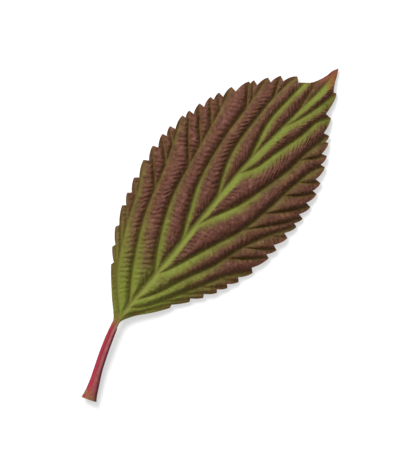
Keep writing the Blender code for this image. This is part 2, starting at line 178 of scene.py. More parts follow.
# Half the width of the midrib's pale band on the upper side, by distance up the leaf.
MIDRIB_BAND = [(0.0, 0.55), (25.0, 0.5), (50.0, 0.3), (80.0, 0.12)]
BAND_SHARE = 0.7             # the pleats start this far out on the band
MIDRIB_ROUNDING = (2.5, 0.7)         # the powers that shape the midrib's section
BLADE_START = (FOOT_Y - 0.5, FOOT_Y + 4.0)  # between these heights the stalk's section becomes the blade's
GROOVE_DEPTH = 0.35          # the groove along the stalk's upper side
GROOVE_WIDTH = 0.4
GROOVE_START = (-17, -6)     # between these heights it deepens
STALK_RIM = 0.01             # half the stalk's height at its outline
END_DISH = 0.35              # how far the cut end is sunk where its height is the next value
END_DEPTH = 2.5
BLADE_THICKNESS = 0.33
MARGIN_THICKNESS = 0.2
MARGIN_THINNING = 1.5        # the blade thins within this distance of the margin
RIDGE_HEIGHT = 0.45          # how far a side vein stands out under the blade where it starts
RIDGE_WIDTH = (0.14, 0.2)    # half the ridge's width: the least, and what a full-size vein adds
RIDGE_END = (0.2, 3.0)       # it sinks into the blade between these distances from the margin
VEIN_THINNING = 0.6          # the share of its size that a vein loses on its way

# ---- the mesh, in millimetres
BOX_MARGIN = 0.01            # the visual leaf stays this far inside the CAD's box
TOP_STEP = 0.23              # the spacing of the points on the upper side
UNDER_STEP = 0.36            # on the underside
RIM_STEP = 0.26              # along the outline
LINE_STEP = 0.4              # along the midrib and the veins on the underside
STALK_STEP = 0.3
# The least gap that each kind of point keeps to the points placed before it.
SECTION_GAP = 0.05           # the stalk's rows, and the midrib's on the underside
TOP_LINE_GAP = 0.14          # the rows along the midrib and the veins on the upper side
UNDER_LINE_GAP = 0.1         # the rows along the veins on the underside
TOP_GAP = 0.15               # the rest of the upper side
UNDER_GAP = 0.24             # and of the underside
# How far each row of points is from its line, or as a share of the midrib's or stalk's half width.
MIDRIB_ROWS = [-0.5, 0.0, 0.5]
VEIN_ROWS = [-0.3, -0.12, 0.0, 0.12, 0.3]
MIDRIB_SHARES = [-1.1, -1.0, -0.9, -0.7, -0.45, -0.2, 0.0, 0.2, 0.45, 0.7, 0.9, 1.0, 1.1]
STALK_SHARES = np.cos(np.linspace(math.pi, 0, 17)[1:-1])
END_ROWS = 8                 # rows of faces on the cut end
CURVE_STEP = 0.1             # the spacing of points on the midline and the margins
VEIN_CURVE_STEP = 0.2
LEAD_POINTS = 20             # a vein's first direction is taken over this many of its points
TABLE_STEP = 0.25
SPAN_POINTS = 40             # how finely a curve is worked out between two of its points
CHUNK = 4000                 # how many points are measured at a time
GRID_CELL = 0.4              # larger than any gap that is kept between points
CUT_POINTS = 15              # points across the cut end
HEADING_SPAN = 0.2           # the stalk's direction is taken this far to both sides of a point
SHARP_ANGLE = 65             # in degrees: edges sharper than this are shaded sharp
RIM_CLEARANCE = 0.12         # the stalk's sides stop this far below the blade's
STALK_ROWS_END = 1.0         # the stalk's rows of points run up to here
MIDRIB_ROWS_START = -1.5     # and the midrib's start here

# ---- colours, as screen values from 0 to 255
WINE = [(60, 34, 22), (73, 42, 30)]
WINE_GRAIN = (80, 54, 32)
WINE_CREST = (81, 47, 40)
# painted sheen: pinkish highlight flecks on the burgundy, scattered by noise
WINE_PAINTED_SHEEN = (106, 70, 63)
LEAFY = [(80, 88, 28), (91, 102, 36)]
LEAFY_GRAIN = (78, 62, 18)
# painted shade: the dark brown of the flank beside each vein that faces away from the light
VALLEY_PAINTED_SHADE = (54, 39, 10)
# the vein's olive line: partly the vein's own colour, partly painted shade darkening the valley floor
VEIN_LINE_AND_PAINTED_SHADE = (80, 72, 22)
MIDRIB_GREEN = (102, 104, 46)
TIP_RED = (112, 62, 40)
RIM_RED = (84, 38, 28)
STALK_LEFT = [(88, 14, 28), (124, 26, 44)]
STALK_GROOVE = (124, 66, 66)
# painted shade: the stalk's right side, away from the light, painted dark
STALK_RIGHT_PAINTED_SHADE = (70, 10, 28)
STALK_GRAIN = (112, 56, 52)
STALK_FLECK = (100, 26, 46)
STALK_END = (104, 74, 44)
CUT_END = [(112, 80, 48), (146, 118, 72)]
UNDER = [(112, 112, 72), (126, 122, 84)]
UNDER_WINE = (118, 78, 66)
UNDER_VEIN = (140, 138, 96)
UNDER_MIDRIB = (146, 136, 100)
# How green the blade is beside each side vein: (near the midrib, towards the margin).
VEIN_GREEN = {
    "left": [(1.0, 0.5), (1.0, 0.35), (1.0, 0.33), (1.0, 0.33), (0.75, 0.45), (1.0, 0.95), (0.2, 0.2)],
    "right": [(1.0, 0.4), (1.0, 0.45), (1.0, 0.4), (1.0, 0.45), (1.0, 0.5), (1.0, 0.85), (1.0, 0.9)],
}
FORK_GREEN = (0.8, 0.5)      # a branch is this much as green as its vein's outer end, at its start and end
GREEN_REACH = {"left": 2.5, "right": 3.4}        # how far the green reaches on a vein's right
GREEN_REACH_ADDED = {"left": 0.0, "right": 1.4}  # and what is added to that near the midrib,
GREEN_ADDED_SPAN = (7.0, 2.0)        # coming in between these distances from it
GREEN_VEIN_SPAN = (0.1, 0.6)         # between these shares of a vein's length its green changes
GREEN_REACH_LEFT = 0.8       # how far it reaches on the left of a vein and of the midrib
MIDRIB_GREEN_REACH = (1.2, 2.2)      # how far it reaches on the midrib's right, low and high up the leaf
MIDRIB_GREEN_WIDENS = (38.0, 46.0)   # between these heights it widens
MIDRIB_GREEN_FULL = 0.3      # up to this share of that reach the blade is fully green
GREEN_BASE_END = 40.0        # how far up the leaf the green of the base reaches
GREEN_BASE_ROUNDING = 0.2    # each mm away from the midline counts as this many more up the leaf
GREEN_BASE_POWER = 1.6
CREST_SPAN = (0.2, 2.2)      # the crests' colour comes in between these gaps to the veins
VEIN_LINE_WIDTH = 0.28
SHADE_WIDTH = (1.1, 0.2)     # of the dark painted shade beside a vein: on its left, on its right
STALK_END_SPAN = (-16.5, -19.5)      # the stalk turns brown between these heights
STALK_SPAN = (FOOT_Y + 3.0, FOOT_Y - 1.5)  # and takes over from the blade's colours between these
BAND_STRENGTH = 0.55
BAND_EDGE = (1.35, 0.9)      # the pale band fades between these shares of its half width
TIP_STRENGTH = 0.85
TIP_SPAN = (76.5, 82.0)      # the tip turns red between these heights
RIM_WIDTH = 1.4

# ---- the stage: sizes in metres, directions in the leaf's frame
FLOOR_HALF = 6.0
FLOOR_TONES = (0.4, 0.41)
FLOOR_GAP = 0.00002          # the floor lies this far under the leaf
FLOOR_GLOW = (0.45, 0.78)    # under the leaf, and far away from it
FLOOR_GLOW_REACH = (0.09, 0.35)  # between these distances from the leaf's middle it rises
WORLD_STRENGTH = 0.66        # as light on the leaf
WORLD_SEEN = 1.0             # and as the background behind the floor
KEY_DIRECTION = (-0.76, 0.2, 0.62)
KEY_DISTANCE = 0.8
KEY_SIZE = 0.55
KEY_ENERGY = 14.2
FILL_DIRECTION = (0.3, 0.4, 1.0)
FILL_DISTANCE = 1.0
FILL_SIZE = 0.8
FILL_ENERGY = 0.6
CAMERA_DISTANCE = 0.6
VIEW_HEIGHT = 0.1175         # what the picture shows from bottom to top
VIEW_CENTRE = (1.955, 30.08)  # in the plan, in millimetres
MARGIN_VIEW_HEIGHT = 0.0006  # the camera's distance and the view's height count from this level
SENSOR_HEIGHT = 24.0         # in millimetres
CAMERA_ROLL = 41.11          # in degrees


# ---- curves in the plan
def arc_lengths(path):
    return np.concatenate([[0.0], np.cumsum(np.linalg.norm(np.diff(path, axis=0), axis=1))])


def at_arc(path, arc):
    along = arc_lengths(path)
    return np.array([np.interp(arc, along, column) for column in path.T]).T


def arc_at_height(path, y):
    return np.interp(y, path[:, 1], arc_lengths(path))


def profile(table, at, column=1):
    rows = np.array(table)
    return np.interp(at, rows[:, 0], rows[:, column])


def smooth_curve(points, step):
    """A curve through the points (centripetal Catmull-Rom), as points about one step apart."""
    knots = np.array(points, float)
    knots = np.vstack([2 * knots[0] - knots[1], knots, 2 * knots[-1] - knots[-2]])
    pieces = []
    for a, b, c, d in zip(knots[:-3], knots[1:-2], knots[2:-1], knots[3:]):
        tb = np.linalg.norm(b - a) ** 0.5
        tc = tb + np.linalg.norm(c - b) ** 0.5
        td = tc + np.linalg.norm(d - c) ** 0.5
        t = np.linspace(tb, tc, SPAN_POINTS, endpoint=False)[:, None]
        ab = a + (b - a) * t / tb
        bc = b + (c - b) * (t - tb) / (tc - tb)
        cd = c + (d - c) * (t - tc) / (td - tc)
        abc = ab + (bc - ab) * t / tc
        bcd = bc + (cd - bc) * (t - tb) / (td - tb)
        pieces.append(abc + (bcd - abc) * (t - tb) / (tc - tb))
    path = np.vstack(pieces + [knots[-2:-1]])
    length = arc_lengths(path)[-1]
    return at_arc(path, np.linspace(0, length, max(2, round(length / step) + 1)))


def directions(path):
    heading = np.gradient(path, axis=0)
    return heading / np.linalg.norm(heading, axis=1)[:, None]


MIDLINE = smooth_curve(AXIS, CURVE_STEP)
EDGE = {side: smooth_curve(MARGIN[side], CURVE_STEP) for side in MARGIN}
SIGN = {"left": -1.0, "right": 1.0}


def tooth_margin(side, step):
    """One side's outline from the foot to the tip: long convex backs and short fronts, pointing up."""
    line = EDGE[side]
    heading = directions(line)
    inward = np.column_stack([heading[:, 1], -heading[:, 0]]) * -SIGN[side]

    def place(arc, depth):
        push = np.array([np.interp(arc, arc_lengths(line), column) for column in inward.T])
        return at_arc(line, arc) + depth * push

    tips = [arc_at_height(line, y) for y in TEETH[side]]
    outline = [place(arc, 0) for arc in np.linspace(0, tips[0], round(tips[0] / step), endpoint=False)]
    for tip, following in zip(tips, tips[1:]):
        pitch = following - tip
        grown = min(LARGEST_TOOTH, SMALLEST_TOOTH + TOOTH_GROWTH * place(tip, 0)[1])
        depth = TOOTH_DEPTH * min(pitch, TOOTH_LENGTH_CAP) * grown
        notch = tip + TOOTH_FRONT * pitch
        front = max(2, round(depth / step))
        for share in np.arange(front) / front:
            outline.append(place(tip + share * (notch - tip), depth * share))
        back = max(3, round((following - notch) / step))
        for share in np.arange(back) / back:
            inset = depth * (1 - share) ** TOOTH_BACK_POWER
            outline.append(place(notch + share * (following - notch), inset))
    tail = smooth_curve(TIP_MARGIN[side], step)
    tip = place(tips[-1], 0)
    front = max(2, round(np.linalg.norm(tail[0] - tip) / step))
    outline += [tip + (tail[0] - tip) * k / front for k in range(front)]
    return np.array(outline + list(tail))


def side_veins(side):
    veins = []
    for start, through, end in VEINS[side]:
        foot = at_arc(MIDLINE, arc_at_height(MIDLINE, start))
        head = at_arc(EDGE[side], arc_at_height(EDGE[side], end))
        veins.append(smooth_curve([foot, *through, head], VEIN_CURVE_STEP))
    return veins


def branches(side):
    """A branch to each tooth without a vein: (its side vein's number, how far along it forks off, path)."""
    line = EDGE[side]
    veins = side_veins(side)
    ends = [vein[2] for vein in VEINS[side]]
    found = []
    for tooth in TEETH[side]:
        later = [i for i, end in enumerate(ends) if end > tooth + END_MATCH]
        if not later or min(abs(tooth - end) for end in ends) < END_MATCH:
            continue
        vein = veins[later[0]]
        gap = arc_at_height(line, ends[later[0]]) - arc_at_height(line, tooth)
        length = arc_lengths(vein)[-1]
        fork = max(length - FORK_BACK * gap - FORK_BACK_LEAST, LOWEST_FORK * length)
        foot = at_arc(vein, fork)
        ahead = at_arc(vein, fork + 1.0) - foot
        head = at_arc(line, arc_at_height(line, tooth))
        bow = FORK_BOW * np.linalg.norm(head - foot) * ahead / np.linalg.norm(ahead)
        path = smooth_curve([foot, (foot + head) / 2 + bow, head], VEIN_CURVE_STEP)
        found.append((later[0], fork, path))
    return found


# ---- fields over the plan
def nearest(points, path, reach=None):
    """(which points are within reach, their distance from the path, their place along it in mm, the signed
    offset, positive on the path's right)."""
    close = np.arange(len(points))
    if reach is not None:
        low, high = path.min(axis=0) - reach, path.max(axis=0) + reach
        close = np.flatnonzero(((points >= low) & (points <= high)).all(axis=1))
    heading = directions(path)
    along = arc_lengths(path)
    index = np.empty(len(close), int)
    for first in range(0, len(close), CHUNK):
        part = points[close[first:first + CHUNK]]
        square = (part[:, None, 0] - path[None, :, 0]) ** 2 + (part[:, None, 1] - path[None, :, 1]) ** 2
        index[first:first + CHUNK] = square.argmin(axis=1)
    offset = points[close] - path[index]
    forward = (offset * heading[index]).sum(axis=1)
    across = offset[:, 0] * heading[index][:, 1] - offset[:, 1] * heading[index][:, 0]
    ends = (index == 0) | (index == len(path) - 1)
    distance = np.where(ends, np.hypot(forward, across), np.abs(across))
    return close, distance, along[index] + forward, across


def smoothstep(low, high, value):
    t = np.clip((value - low) / (high - low), 0, 1)
    return t * t * (3 - 2 * t)


def wander(points, scale, seed):
    """Smooth noise between about -1 and 1, with features of the given size in mm."""
    return np.array([noise.noise((x / scale, y / scale, seed)) for x, y in points])


def pillows(points, size):
    """1 in the middle of each small irregular cell of the given size in mm, 0 on the lines between them."""
    apart = []
    for x, y in points:
        distances = noise.voronoi((x / size, y / size, 0.0))[0]
        apart.append(distances[1] - distances[0])
    return smoothstep(0.0, CREASE_WIDTH, np.array(apart))


def smooth_table(table):
    """The table's rows joined by a smooth curve, as many rows."""
    return smooth_curve(table, TABLE_STEP)


FLOOR = smooth_table(MIDRIB_FLOOR)
MARGIN_LEVEL = {side: smooth_table(MARGIN_HEIGHT[side]) for side in MARGIN_HEIGHT}
STALK_LEVEL = smooth_table(STALK)
MIDRIB_SIZE = smooth_table(MIDRIB)


def pull(distance, across):
    """How strongly a vein draws the blade down: pleats rise gently on its right and steeply on its left."""
    lean = np.where(across > 0, GENTLE, STEEP)
    return np.maximum(distance * lean, LEAST_GAP) ** -GATHER


def vein_runs(side):
    """Each side vein and branch: (where the count of ripples starts on it, its weight, path and greens)."""
    starts = []
    for (start, _, _), path in zip(VEINS[side], side_veins(side)):
        lead = path[LEAD_POINTS] - path[0]
        starts.append(start * lead[1] / np.linalg.norm(lead))
    veins = zip(starts, side_veins(side), VEIN_GREEN[side])
    runs = [(start, 1.0, path, greens) for start, path, greens in veins]
    for i, fork, path in branches(side):
        greens = [share * VEIN_GREEN[side][i][1] for share in FORK_GREEN]
        runs.append((starts[i] + fork, FORK_WEIGHT, path, greens))
    return runs


class Fields:
    """What the shape and the colour need to know at each point of the plan."""

    def __init__(self, points):
        self.points = points
        x, y = points.T
        self.middle = np.interp(y, MIDLINE[:, 1], MIDLINE[:, 0])
        _, self.rib_distance, rib_arc, self.rib_across = nearest(points, MIDLINE[::3])
        self.rib_y = np.interp(rib_arc, arc_lengths(MIDLINE), MIDLINE[:, 1])
        self.half = np.ones(len(points))
        self.margin_level = np.zeros(len(points))
        self.margin_gap = np.full(len(points), np.inf)
        self.start_at_midrib()
        for side, sign in SIGN.items():
            self.add_margin(side, sign)
            for run in vein_runs(side):
                self.add_vein(*run, side)
        self.rungs = self.rung_sum / self.pull_sum
        self.veins_green = self.green_sum / self.pull_sum
        self.gap = self.pull_sum ** (-1 / GATHER)
        self.out = np.clip(np.abs(x - self.middle) / np.maximum(self.half, 1.0), 0, 1)
        self.ends = np.clip((TIP_Y - y) / TIP_FADE, 0, 1) * np.clip((y - BLADE_FOOT) / FOOT_FADE, 0, 1)

    def start_at_midrib(self):
        """Start each sum over the veins with the midrib's share."""
        y = self.points[:, 1]
        beside = np.maximum(self.rib_distance - BAND_SHARE * profile(MIDRIB_BAND, y), 0)
        weight = pull(beside, self.rib_across)
        low, high = MIDRIB_GREEN_REACH
        reach = low + (high - low) * smoothstep(*MIDRIB_GREEN_WIDENS, y)
        on_right = smoothstep(reach, MIDRIB_GREEN_FULL * reach, beside)
        on_left = smoothstep(GREEN_REACH_LEFT, 0.0, beside)
        self.pull_sum = weight.copy()
        self.green_sum = weight * np.where(self.rib_across > 0, on_right, on_left)
        self.rung_sum = weight * y
        self.vein_gap = self.rib_distance.copy()
        self.vein_across = self.rib_across.copy()
        self.vein_size = np.zeros(len(y))

    def add_margin(self, side, sign):
        x, y = self.points.T
        on_side = (x >= self.middle) == (sign > 0)
        width = np.abs(np.interp(y, EDGE[side][:, 1], EDGE[side][:, 0]) - self.middle)
        self.half = np.where(on_side, width, self.half)
        self.margin_level = np.where(on_side, profile(MARGIN_LEVEL[side], y), self.margin_level)
        self.margin_gap = np.minimum(self.margin_gap, nearest(self.points, EDGE[side][::2])[1])

    def add_vein(self, start, share, path, greens, side):
        """Add a vein's share to each sum, and note where it is the nearest vein."""
        close, distance, along, across = nearest(self.points, path, VEIN_SEARCH)
        weight = share * pull(distance, across)
        way = along / arc_lengths(path)[-1]
        level = greens[0] + (greens[1] - greens[0]) * smoothstep(*GREEN_VEIN_SPAN, way)
        out = np.abs(self.points[close, 0] - self.middle[close])
        reach = GREEN_REACH[side] + GREEN_REACH_ADDED[side] * smoothstep(*GREEN_ADDED_SPAN, out)
        reach = np.where(across > 0, reach, GREEN_REACH_LEFT)
        self.pull_sum[close] += weight
        self.green_sum[close] += weight * (level * np.clip(1 - distance / reach, 0, 1))
        self.rung_sum[close] += weight * (start + along)
        nearer = distance < self.vein_gap[close]
        size = share * (1 - VEIN_THINNING * np.clip(way, 0, 1))
        self.vein_size[close] = np.where(nearer, size, self.vein_size[close])
        self.vein_across[close] = np.where(nearer, across, self.vein_across[close])
        self.vein_gap[close] = np.minimum(self.vein_gap[close], distance)

    def ripples(self):
        """The cross ripples: rounded rungs between the veins, at right angles to them."""
        phase = self.rungs.copy()
        for amount, size, seed in RIPPLE_BENDS:
            phase += amount * wander(self.points, size, seed)
        strength = RIPPLE_MEAN + RIPPLE_SPREAD * wander(self.points, RIPPLE_PATCH, 1.5)
        rung = np.abs(np.sin(phase * math.pi / RIPPLE_LENGTH))
        ripple = RIPPLE_HEIGHT * (0.5 * rung + 0.5 * rung ** 2 - 1.0) * np.maximum(strength, RIPPLE_LEAST)
        from_vein = smoothstep(*RIPPLES_FROM_VEIN, self.gap)
        from_margin = smoothstep(*RIPPLES_FROM_MARGIN, self.margin_gap)
        return ripple * (from_vein * from_margin) * smoothstep(*RIPPLES_FROM_FOOT, self.points[:, 1])

    def blade_top(self):
        x, y = self.points.T
        gap = np.sqrt(self.gap ** 2 + VEIN_FLOOR ** 2) - VEIN_FLOOR
        pleat = PLEAT_HEIGHT * (1 - np.exp(-gap / PLEAT_REACH))
        pleat *= MARGIN_PLEAT + (1 - MARGIN_PLEAT) * np.clip(self.margin_gap / MARGIN_REACH, 0, 1)
        floor = profile(FLOOR, y)
        rise = self.ends * SIDE_RISE * np.sin(math.pi * np.minimum(self.out / SIDE_RISE_END, 1))
        phase = y * math.tau / MARGIN_WAVE_LENGTH + x / MARGIN_WAVE_SLANT
        wave = MARGIN_WAVE * self.ends * self.out ** 2 * (0.5 + 0.5 * np.sin(phase))
        arch = floor + rise - (floor - self.margin_level) * self.out ** ARCH_POWER + wave
        fine = GRAIN_HEIGHT * wander(self.points, GRAIN_SIZE, 7.0)
        fine -= PILLOW_DEPTH * (1 - pillows(self.points, PILLOW_SIZE))
        fine *= smoothstep(*RELIEF_FROM_VEIN, self.gap)
        edge = (np.abs(self.rib_across) - profile(MIDRIB_BAND, y)) / LIP_WIDTH
        lip = LIP_HEIGHT * np.exp(-edge ** 2) * smoothstep(*LIP_START, y)
        return arch + pleat + self.ripples() + fine + lip

    def heights(self):
        """(top, bottom) of the whole leaf at each point."""
        y = self.points[:, 1]
        top = self.blade_top()
        thick = BLADE_THICKNESS - MARGIN_THICKNESS
        bottom = top - MARGIN_THICKNESS - thick * smoothstep(0, MARGIN_THINNING, self.margin_gap)
        ridge_width = RIDGE_WIDTH[0] + RIDGE_WIDTH[1] * self.vein_size
        ridge = RIDGE_HEIGHT * self.vein_size * np.exp(-(self.vein_gap / ridge_width) ** 2)
        bottom -= ridge * smoothstep(*RIDGE_END, self.margin_gap)
        share = np.clip(np.abs(self.rib_across) / profile(MIDRIB_SIZE, self.rib_y), 0, 1)
        flat, full = MIDRIB_ROUNDING
        bottom -= profile(MIDRIB_SIZE, self.rib_y, 2) * (1 - share ** flat) ** full
        wide, tall, centre = (profile(STALK_LEVEL, self.rib_y, k) for k in (1, 2, 3))
        lift = tall * np.sqrt(1 - np.clip(np.abs(self.rib_across) / wide, 0, 1) ** 2)
        groove = GROOVE_DEPTH * np.exp(-(self.rib_across / GROOVE_WIDTH) ** 2) * smoothstep(*GROOVE_START, y)
        blade = smoothstep(*BLADE_START, y)
        stalk_top = centre + lift - groove + STALK_RIM
        stalk_bottom = centre - lift - STALK_RIM
        return stalk_top + (top - stalk_top) * blade, stalk_bottom + (bottom - stalk_bottom) * blade

    def looks(self, under):
        """What the material reads: values from 0 to 1, and "across" from -1 at the stalk's left to 1."""
        x, y = self.points.T
        rounded = y + GREEN_BASE_ROUNDING * np.abs(x - self.middle)
        base = smoothstep(GREEN_BASE_END, 0, rounded) ** GREEN_BASE_POWER
        green = 1 - (1 - self.veins_green) * (1 - base)
        stalk = smoothstep(*STALK_SPAN, y)
        band = profile(MIDRIB_BAND, y)
        band_edge = smoothstep(band * BAND_EDGE[0], band * BAND_EDGE[1], self.rib_distance)
        return {
            "green": np.clip(green, 0, 1),
            "crest": smoothstep(*CREST_SPAN, self.gap),
            "vein": np.exp(-(self.vein_gap / VEIN_LINE_WIDTH) ** 2),
            # painted shade beside each vein, wider on its left, away from the light
            "shade": np.exp(-(self.vein_gap / np.where(self.vein_across < 0, *SHADE_WIDTH)) ** 2),
            "end": smoothstep(*STALK_END_SPAN, y),
            "band": BAND_STRENGTH * band_edge * (1 - stalk),
            "stalk": stalk,
            "across": self.rib_across / profile(STALK_LEVEL, self.rib_y, 1) * stalk,
            "tip": TIP_STRENGTH * smoothstep(*TIP_SPAN, y),
            "rim": smoothstep(RIM_WIDTH, 0.0, self.margin_gap) * (1 - stalk),
            "under": np.full(len(x), under),
            "cut": np.zeros(len(x)),
        }


# ---- the mesh
def leaf_outline():
    """The outline, anticlockwise from the cut end's right corner, and how many points precede the cut."""
    foot = arc_at_height(MIDLINE, FOOT_Y)
    arcs = np.linspace(0, foot, round(foot / RIM_STEP))
    centre = at_arc(MIDLINE, arcs)
    heading = at_arc(MIDLINE, arcs + HEADING_SPAN) - at_arc(MIDLINE, arcs - HEADING_SPAN)
    heading[0] = heading[1]
    heading /= np.linalg.norm(heading, axis=1)[:, None]
    normal = np.column_stack([heading[:, 1], -heading[:, 0]])
    wide = profile(STALK_LEVEL, centre[:, 1])[:, None]
    right = [p for p in centre + normal * wide if p[1] < MARGIN["right"][0][1] - RIM_CLEARANCE]
    left = [p for p in centre - normal * wide if p[1] < MARGIN["left"][0][1] - RIM_CLEARANCE]
    blade_right = tooth_margin("right", RIM_STEP)
    blade_left = tooth_margin("left", RIM_STEP)
    sides = right + list(blade_right[:-1]) + list(blade_left[::-1]) + left[::-1]
    angles = np.linspace(math.pi, 0, CUT_POINTS)[1:-1]
    cut = [centre[0] + normal[0] * wide[0] * math.cos(angle) for angle in angles]
    return np.array(sides + cut), len(sides)


def rows_along(path, offsets, step):
    """Rows of points beside a path. Offsets are in mm, or a function of the path's points."""
    path = at_arc(path, np.arange(step / 2, arc_lengths(path)[-1], step))
    heading = directions(path)
    normal = np.column_stack([heading[:, 1], -heading[:, 0]])
    wide = offsets(path) if callable(offsets) else np.tile(offsets, (len(path), 1))
    return (path[:, None, :] + normal[:, None, :] * wide[:, :, None]).reshape(-1, 2)


def lattice(outline, step):
    """A triangular lattice over the inside of the outline."""
    start, end = outline, np.roll(outline, -1, axis=0)
    points = []
    for k, y in enumerate(np.arange(outline[:, 1].min(), outline[:, 1].max(), step * math.sqrt(0.75))):
        cross = (start[:, 1] > y) != (end[:, 1] > y)
        a, b = start[cross], end[cross]
        hits = np.sort(a[:, 0] + (y - a[:, 1]) * (b[:, 0] - a[:, 0]) / (b[:, 1] - a[:, 1]))
        for low, high in zip(hits[::2], hits[1::2]):
            first = math.ceil(low / step - (k % 2) / 2)
            xs = (np.arange(first, math.floor(high / step) + 1) + (k % 2) / 2) * step
            points += [(x, y) for x in xs if low < x < high]
    return np.array(points)


def inside(points, outline):
    start, end = outline, np.roll(outline, -1, axis=0)
    odd = np.zeros(len(points), bool)
    for (ax, ay), (bx, by) in zip(start, end):
        if ay == by:
            continue
        across = (ay > points[:, 1]) != (by > points[:, 1])
        odd ^= across & (points[:, 0] < ax + (points[:, 1] - ay) * (bx - ax) / (by - ay))
    return odd


def thin_out(groups):
    """The groups' points in order, without those nearer than their group's gap to one kept before."""
    grid = {}
    kept = []
    for points, gap in groups:
        for x, y in points:
            column, row = math.floor(x / GRID_CELL), math.floor(y / GRID_CELL)
            near = (q for i in (-1, 0, 1) for j in (-1, 0, 1) for q in grid.get((column + i, row + j), ()))
            if gap and any((x - u) ** 2 + (y - v) ** 2 < gap * gap for u, v in near):
                continue
            grid.setdefault((column, row), []).append((x, y))
            kept.append((x, y))
    return np.array(kept)


def plan_mesh(outline, groups):
    """(points, triangles) of the outline filled with the groups' points. The outline's points come first."""
    inner = [(points[inside(points, outline)], gap) for points, gap in groups]
    points = thin_out([(outline, 0)] + inner)
    edges = [(i, (i + 1) % len(outline)) for i in range(len(outline))]
    keep_inside = 1
    result = delaunay_2d_cdt([Vector(p) for p in points], edges, [], keep_inside, 1e-6)
    assert len(result[0]) == len(points), "the outline crosses itself"
    return points, np.array(result[2])


def vein_rows(offsets, step):
    rows = []
    for side in SIGN:
        for path in side_veins(side):
            rows.append(rows_along(path, offsets, step))
        for _, _, path in branches(side):
            rows.append(rows_along(path, offsets, step))
    return np.vstack(rows)


def stalk_offsets(path):
    return profile(STALK_LEVEL, path[:, 1])[:, None] * STALK_SHARES


def midrib_offsets(path):
    return profile(MIDRIB_SIZE, path[:, 1])[:, None] * np.array(MIDRIB_SHARES)


def cut_end(cut, top, bottom):
    """The dished cut end: its own points, and rows of point numbers from the upper rim to the lower one."""
    heading = directions(MIDLINE)[0]
    first = len(top) + len(bottom)
    points = []
    rows = [cut]
    for share in np.arange(1, END_ROWS) / END_ROWS:
        rows.append([first + len(points) + k for k in range(len(cut))])
        for i in cut:
            x, y, z = top[i] * (1 - share) + bottom[i] * share
            sink = END_DISH * (top[i][2] - bottom[i][2]) / END_DEPTH * 4 * share * (1 - share)
            points.append((x + heading[0] * sink, y + heading[1] * sink, z))
    rows.append([len(top) + i for i in cut])
    return points, rows


def make_leaf_mesh():
    """Points in mm, faces, and the values that the material reads at each point."""
    outline, sides = leaf_outline()
    stalk = MIDLINE[MIDLINE[:, 1] < STALK_ROWS_END]
    midrib = MIDLINE[MIDLINE[:, 1] > MIDRIB_ROWS_START]
    stalk_rows = (rows_along(stalk, stalk_offsets, STALK_STEP), SECTION_GAP)
    over = plan_mesh(outline, [stalk_rows, (rows_along(midrib, MIDRIB_ROWS, TOP_STEP), TOP_LINE_GAP),
                               (vein_rows([0.0], TOP_STEP), TOP_LINE_GAP),
                               (lattice(outline, TOP_STEP), TOP_GAP)])
    under = plan_mesh(outline, [stalk_rows, (rows_along(midrib, midrib_offsets, LINE_STEP), SECTION_GAP),
                                (vein_rows(VEIN_ROWS, LINE_STEP), UNDER_LINE_GAP),
                                (lattice(outline, UNDER_STEP), UNDER_GAP)])
    top_fields, under_fields = Fields(over[0]), Fields(under[0])
    top = np.column_stack([over[0], top_fields.heights()[0]])
    bottom = np.column_stack([under[0], under_fields.heights()[1]])
    count = len(top)
    faces = [tuple(t) for t in over[1]]
    faces += [tuple(t[::-1] + count) for t in under[1]]
    faces += [(i, count + i, count + i + 1, i + 1) for i in range(1, sides - 2)]
    cut = [sides - 1, *range(sides, len(outline)), 0]
    end_points, rows = cut_end(cut, top, bottom)
    for row, below in zip(rows, rows[1:]):
        faces += [(row[k], below[k], below[k + 1], row[k + 1]) for k in range(len(cut) - 1)]
    # the rim's last face on each side also meets the cut end's rows
    faces.append((sides - 2, count + sides - 2, *[row[0] for row in rows[::-1]]))
    faces.append((*[row[-1] for row in rows], count + 1, 1))
    spots = np.vstack([top, bottom, end_points])
    looks = [top_fields.looks(0.0), under_fields.looks(1.0)]
    blank = {name: np.zeros(len(end_points)) for name in looks[0]}
    blank["cut"] += 1.0
    blank["stalk"] += 1.0
    looks = {name: np.concatenate([part[name] for part in (*looks, blank)]) for name in blank}
    return spots, faces, looks


def build_leaf():
    """The leaf, fitted into the CAD leaf's box, and where the plan's origin is in the frame."""
    spots, faces, looks = make_leaf_mesh()
    low, high = spots.min(axis=0), spots.max(axis=0)
    cad_size = np.array(CAD_HIGH - CAD_LOW) / MM
    centre = (low + high) / 2
    fitted = (spots - centre) * np.minimum((cad_size - 2 * BOX_MARGIN) / (high - low), 1.0)
    cad_centre = np.array(CAD_LOW + CAD_HIGH) / 2
    fitted = fitted * MM + cad_centre
    mesh = bpy.data.meshes.new("leaf_blade_and_stalk")
    mesh.from_pydata([tuple(p) for p in fitted], [], faces)
    mesh.validate()
    mesh.shade_smooth()
    mesh.set_sharp_from_angle(angle=math.radians(SHARP_ANGLE))
    for name, values in looks.items():
        attribute = mesh.attributes.new(name, "FLOAT", "POINT")
        attribute.data.foreach_set("value", values.astype(np.float32))
    leaf = bpy.data.objects.new("leaf_blade_and_stalk", mesh)
    bpy.context.collection.objects.link(leaf)
    mesh.materials.append(leaf_material())
    return leaf, cad_centre - centre * MM


